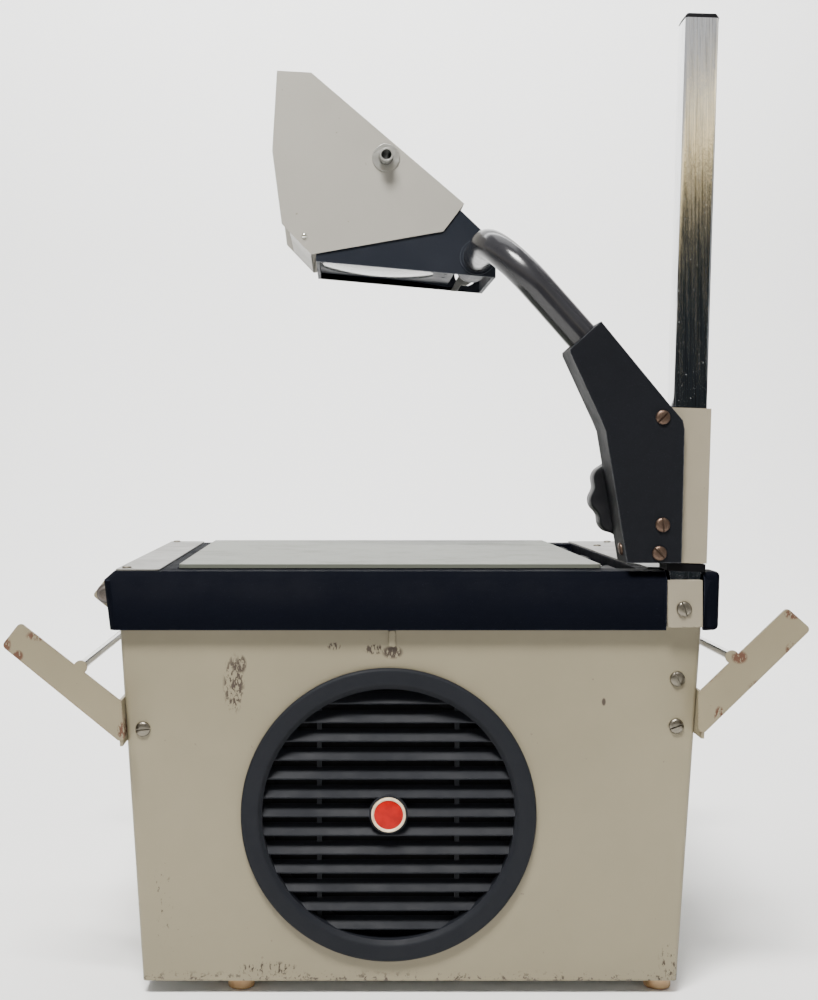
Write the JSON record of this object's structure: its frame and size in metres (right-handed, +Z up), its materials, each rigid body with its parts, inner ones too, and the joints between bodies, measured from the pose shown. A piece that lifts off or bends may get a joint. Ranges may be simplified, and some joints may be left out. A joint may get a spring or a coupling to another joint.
{
  "type": "overhead projector",
  "caption": "Overhead projector with a tapered sheet case, lift-up glass stage, leaning post, focusing carriage and a tilting head with lens and mirror.",
  "frame": {"origin": "centre of the bounding box, on the floor under the feet", "axes": "+Z up; -Y is the side with the round fan grille; the head throws its picture towards -X; the post stands at the +X, -Y corner"},
  "size_m": [0.524, 0.3728, 0.6501],
  "materials": {
    "case_shell": "satin enamel with chips",
    "base_plate": "satin",
    "rubber_feet": "matte",
    "foot_screws": "zinc",
    "fan_grille": "matte",
    "grille_badge": "gloss enamel, red with a cream rim",
    "exhaust_grille": "matte",
    "case_screws": "nickel",
    "switch_bezel": "semi-gloss",
    "switch_rocker": "semi-gloss",
    "power_inlet": "matte",
    "stage_frame": "satin, rubbed edges",
    "deck_left": "satin",
    "deck_right": "satin",
    "deck_screws": "zinc",
    "lid_frame": "satin",
    "stage_glass": "clear",
    "fresnel_lens": "grooved sheet",
    "lid_hinge_pin": "plain",
    "lamp_chassis": "mill",
    "lamp_socket": "matte",
    "lamp_bulb": "clear",
    "reflector": "polished",
    "condenser_ring": "matte",
    "condenser_glass": "clear",
    "fan_bracket": "satin",
    "fan_motor": "satin",
    "fan_rotor": "mill",
    "post": "polished, lightly scratched",
    "post_cap": "matte",
    "post_socket": "zinc",
    "post_bracket": "satin enamel",
    "carriage_channel": "satin enamel",
    "glide_liners": "matte",
    "housing_shell": "satin",
    "housing_cover": "satin",
    "housing_screws": "aged bronze",
    "drive_shaft": "plain",
    "drive_tyre": "matte",
    "focus_knob": "satin",
    "arm_tube": "gloss black",
    "cradle": "satin",
    "lens_board": "satin",
    "projection_lens": "clear",
    "lens_ring": "matte",
    "pivot_collar": "zinc",
    "head_housing": "satin enamel",
    "front_panel": "satin enamel",
    "mirror_carrier": "matte",
    "mirror": "front surface",
    "mirror_shaft": "plain",
    "spindle_washer": "zinc",
    "head_rivets": "polished",
    "front_roll_bracket": "satin enamel, chipped edges",
    "rear_roll_bracket": "satin enamel, chipped edges",
    "tie_rods": "bright",
    "hub_front_near": "matte brown",
    "hub_rear_near": "matte brown",
    "hub_front_far": "matte brown",
    "hub_rear_far": "matte brown"
  },
  "bodies": {
    "case": {"case_shell": "case_shell", "base_plate": "base_plate", "rubber_feet": "rubber_feet", "foot_screws": "foot_screws", "fan_grille": "fan_grille", "grille_badge": "grille_badge", "exhaust_grille": "exhaust_grille", "case_screws": "case_screws", "switch_bezel": "switch_bezel", "power_inlet": "power_inlet", "stage_frame": "stage_frame", "deck_left": "deck_left", "deck_right": "deck_right", "deck_screws": "deck_screws", "lid_hinge_pin": "lid_hinge_pin", "lamp_chassis": "lamp_chassis", "lamp_socket": "lamp_socket", "lamp_bulb": "lamp_bulb", "reflector": "reflector", "condenser_ring": "condenser_ring", "condenser_glass": "condenser_glass", "fan_bracket": "fan_bracket", "fan_motor": "fan_motor", "post": "post", "post_cap": "post_cap", "post_socket": "post_socket", "post_bracket": "post_bracket", "front_roll_bracket": "front_roll_bracket", "rear_roll_bracket": "rear_roll_bracket", "tie_rods": "tie_rods"},
    "carriage": {"carriage_channel": "carriage_channel", "glide_liners": "glide_liners", "housing_shell": "housing_shell", "housing_cover": "housing_cover", "housing_screws": "housing_screws", "arm_tube": "arm_tube", "pivot_collar": "pivot_collar"},
    "knob": {"drive_shaft": "drive_shaft", "drive_tyre": "drive_tyre", "focus_knob": "focus_knob"},
    "head": {"cradle": "cradle", "lens_board": "lens_board", "projection_lens": "projection_lens", "lens_ring": "lens_ring", "head_housing": "head_housing", "front_panel": "front_panel", "spindle_washer": "spindle_washer", "head_rivets": "head_rivets"},
    "mirror_unit": {"mirror_carrier": "mirror_carrier", "mirror": "mirror", "mirror_shaft": "mirror_shaft"},
    "lid": {"lid_frame": "lid_frame", "stage_glass": "stage_glass", "fresnel_lens": "fresnel_lens"},
    "fan": {"fan_rotor": "fan_rotor"},
    "rocker": {"switch_rocker": "switch_rocker"},
    "front_near_hub": {"hub_front_near": "hub_front_near"},
    "rear_near_hub": {"hub_rear_near": "hub_rear_near"},
    "front_far_hub": {"hub_front_far": "hub_front_far"},
    "rear_far_hub": {"hub_rear_far": "hub_rear_far"}
  },
  "joints": [
    {"name": "carriage_slide", "type": "slide", "parent": "case", "child": "carriage", "axis": [0.0305, 0, 0.9995], "range_m": [0, 0.22]},
    {"name": "knob_turn", "type": "hinge", "parent": "carriage", "child": "knob", "pos_m": [0.16137, -0.166, 0.33271], "axis": [0, 1, 0], "range_deg": [-5, 980]},
    {"name": "head_tilt", "type": "hinge", "parent": "carriage", "child": "head", "pos_m": [0.05816, -0.037, 0.505], "axis": [0, 1, 0], "range_deg": [-12, 15]},
    {"name": "mirror_tilt", "type": "hinge", "parent": "head", "child": "mirror_unit", "pos_m": [-0.00934, -0.007, 0.5778], "axis": [0, 1, 0], "range_deg": [-8, 8]},
    {"name": "lid_lift", "type": "hinge", "parent": "case", "child": "lid", "pos_m": [0.14616, -0.007, 0.2775], "axis": [0, 1, 0], "range_deg": [0, 35]},
    {"name": "front_near_spin", "type": "hinge", "parent": "case", "child": "front_near_hub", "pos_m": [-0.25004, -0.177, 0.2375], "axis": [0, 1, 0], "continuous": true},
    {"name": "rear_near_spin", "type": "hinge", "parent": "case", "child": "rear_near_hub", "pos_m": [0.24896, -0.177, 0.247], "axis": [0, 1, 0], "continuous": true},
    {"name": "front_far_spin", "type": "hinge", "parent": "case", "child": "front_far_hub", "pos_m": [-0.25004, 0.168, 0.2375], "axis": [0, 1, 0], "continuous": true},
    {"name": "rear_far_spin", "type": "hinge", "parent": "case", "child": "rear_far_hub", "pos_m": [0.24896, 0.168, 0.247], "axis": [0, 1, 0], "continuous": true},
    {"name": "fan_spin", "type": "hinge", "parent": "case", "child": "fan", "pos_m": [-0.01084, -0.14082, 0.12175], "axis": [0, -0.9994, -0.0341], "continuous": true},
    {"name": "switch_rock", "type": "hinge", "parent": "case", "child": "rocker", "pos_m": [-0.17814, 0.053, 0.12018], "axis": [0, 1, 0], "range_deg": [0, 8]}
  ],
  "couplings": [
    {"joint": "knob_turn", "follows": "carriage_slide", "rad_per_m": 76.923}
  ]
}
